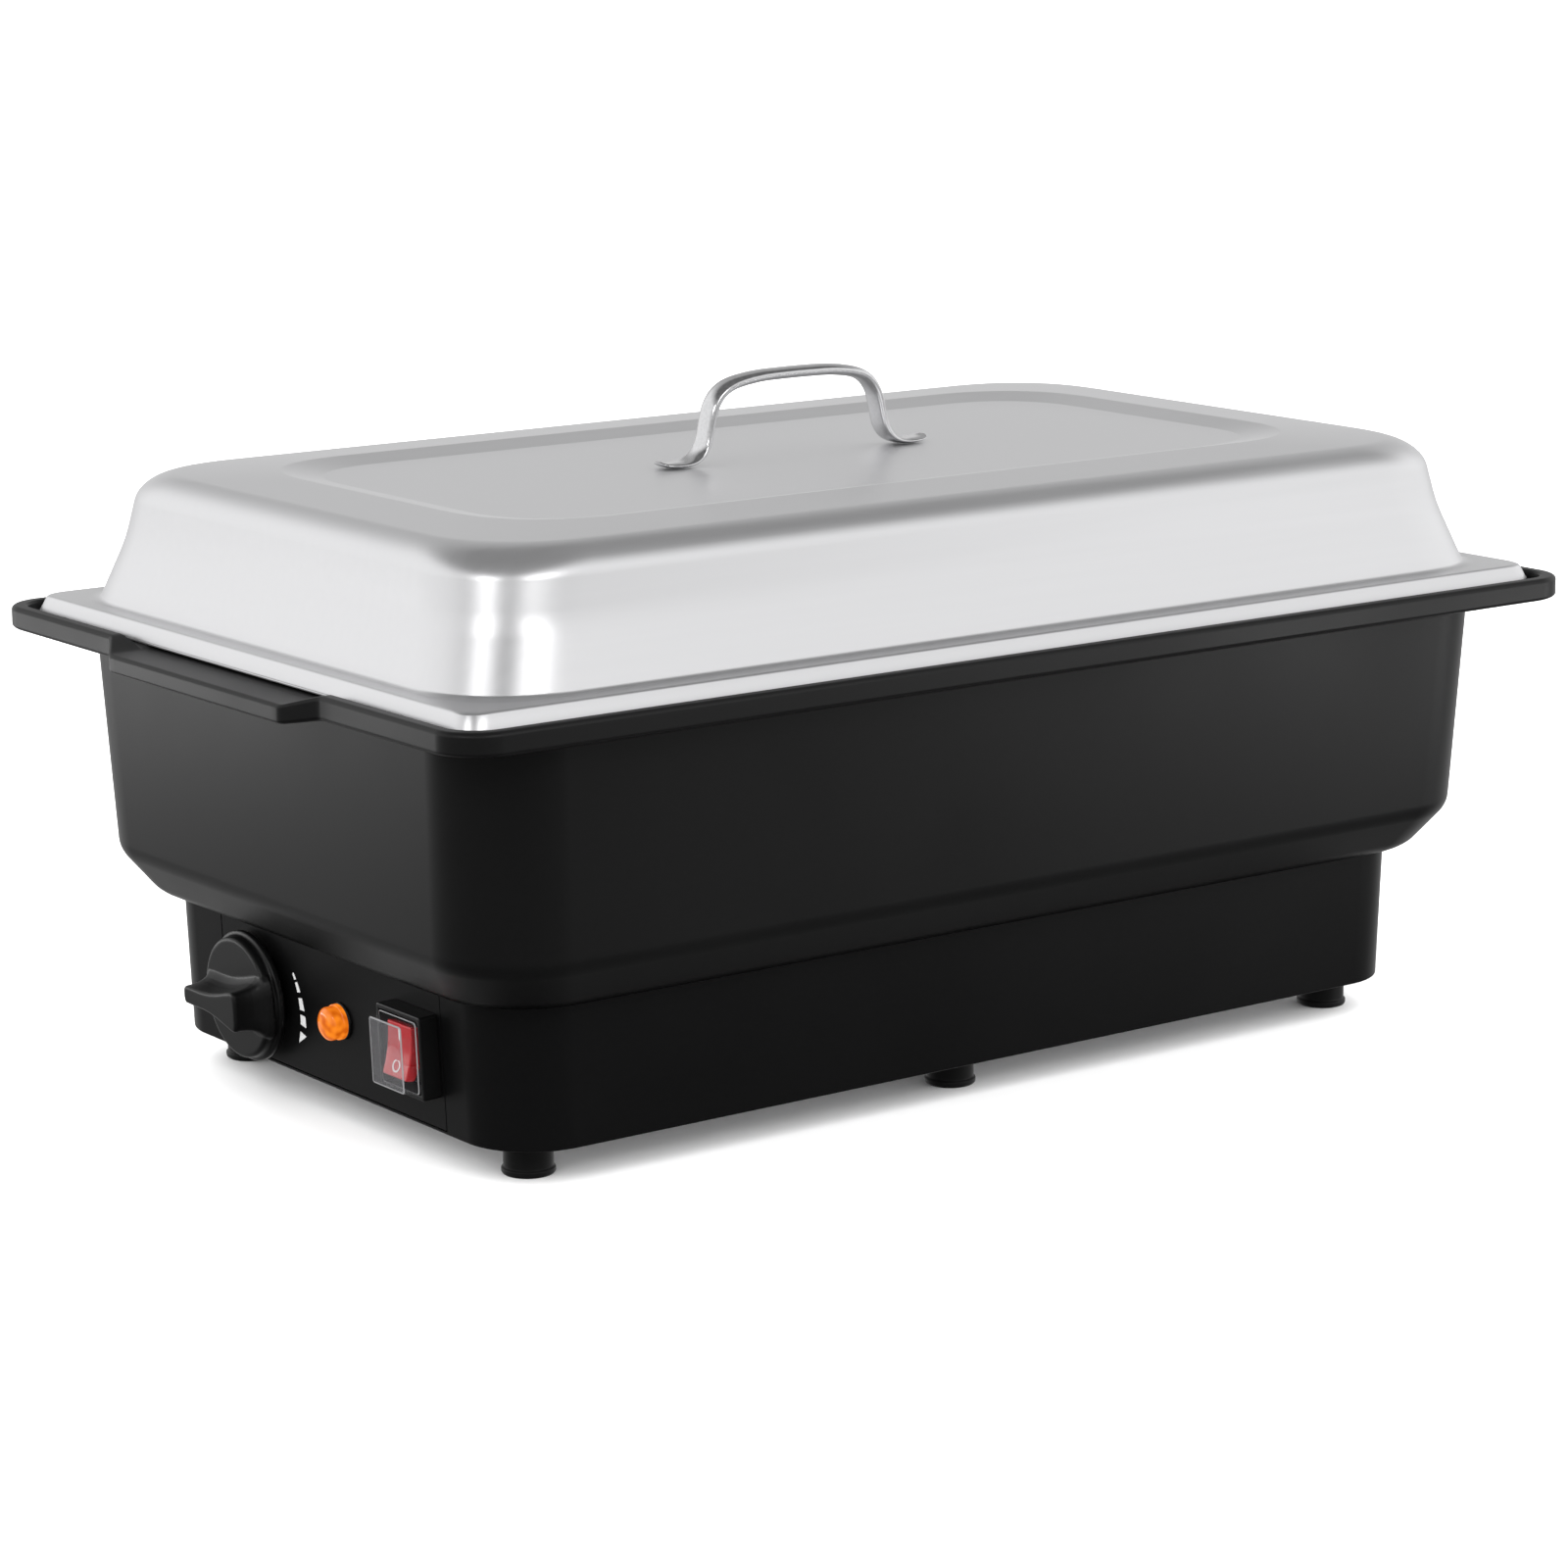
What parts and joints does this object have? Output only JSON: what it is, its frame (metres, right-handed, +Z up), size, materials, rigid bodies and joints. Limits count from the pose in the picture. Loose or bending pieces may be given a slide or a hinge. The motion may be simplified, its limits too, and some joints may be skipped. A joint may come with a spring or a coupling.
{
  "type": "steam table unit",
  "caption": "Electric countertop chafing dish: rectangular black heated tub on a base with front controls, lift-out steel food pan and domed steel lid with bow handle.",
  "frame": {"origin": "centre of the footprint, on the plane under the feet", "axes": "+X along the length with the control panel at the -X end, +Y to the long side opposite the viewer, +Z up"},
  "size_m": [0.572, 0.3548, 0.2825],
  "materials": {
    "aluminium": "rolled",
    "amber": "glowing lens",
    "black_gloss": "semi-gloss moulded",
    "black_plastic": "satin moulded",
    "brushed_steel": "satin brushed",
    "clear": "clear flexible",
    "copper": "drawn copper",
    "cream_plastic": "matte",
    "polished_steel": "polished",
    "red_plastic": "gloss",
    "rubber": "matte",
    "silicone": "matte silicone",
    "wire_blue": "insulation",
    "wire_red": "insulation",
    "zinc_steel": "zinc plated"
  },
  "bodies": {
    "body": {"base_housing": "black_plastic", "bottom_cover": "zinc_steel", "bulb_clip": "zinc_steel", "capillary_tube": "copper", "clamp_bar_left": "zinc_steel", "clamp_bar_right": "zinc_steel", "control_panel": "black_plastic", "element_strap": "zinc_steel", "foot_back_left": "rubber", "foot_back_mid": "rubber", "foot_back_right": "rubber", "foot_front_left": "rubber", "foot_front_mid": "rubber", "foot_front_right": "rubber", "gland_body": "black_plastic", "gland_nut": "black_plastic", "heater_gasket": "silicone", "heater_nut_1": "zinc_steel", "heater_nut_2": "zinc_steel", "heater_nut_3": "zinc_steel", "heater_nut_4": "zinc_steel", "heater_nut_5": "zinc_steel", "heater_plate": "aluminium", "heating_element": "zinc_steel", "indicator_body": "black_gloss", "indicator_lens": "amber", "indicator_nut": "zinc_steel", "knob_collar": "black_gloss", "screw_back_left": "zinc_steel", "screw_back_mid": "zinc_steel", "screw_back_right": "zinc_steel", "screw_front_left": "zinc_steel", "screw_front_mid": "zinc_steel", "screw_front_right": "zinc_steel", "sensor_bulb": "copper", "switch_body": "black_gloss", "switch_boot": "clear", "switch_frame": "black_gloss", "terminal_block": "cream_plastic", "thermal_cutout": "cream_plastic", "thermostat_body": "cream_plastic", "thermostat_nut": "zinc_steel", "tub_housing": "black_plastic", "wire_element_live": "wire_red", "wire_element_neutral": "wire_blue", "wire_lamp": "wire_blue", "wire_switch_in": "wire_red", "wire_switch_out": "wire_red"},
    "pan": {"food_pan": "brushed_steel"},
    "lid": {"lid": "brushed_steel", "lid_handle": "polished_steel", "handle_washer_left": "zinc_steel", "handle_washer_right": "zinc_steel", "handle_nut_left": "zinc_steel", "handle_nut_right": "zinc_steel"},
    "knob": {"thermostat_knob": "black_gloss", "thermostat_shaft": "zinc_steel"},
    "rocker": {"switch_rocker": "red_plastic"}
  },
  "joints": [
    {"name": "pan_lift", "type": "slide", "parent": "body", "child": "pan", "axis": [0, 0, 1], "range_m": [0, 0.12]},
    {"name": "lid_lift", "type": "slide", "parent": "pan", "child": "lid", "axis": [0, 0, 1], "range_m": [0, 0.16]},
    {"name": "knob_turn", "type": "hinge", "parent": "body", "child": "knob", "pos_m": [-0.23067, 0.052, 0.042], "axis": [0.9991, 0, 0.042], "range_deg": [0, 270]},
    {"name": "rocker_tilt", "type": "hinge", "parent": "body", "child": "rocker", "pos_m": [-0.23481, -0.0682, 0.04513], "axis": [0, -1, 0], "range_deg": [0, 20]}
  ]
}
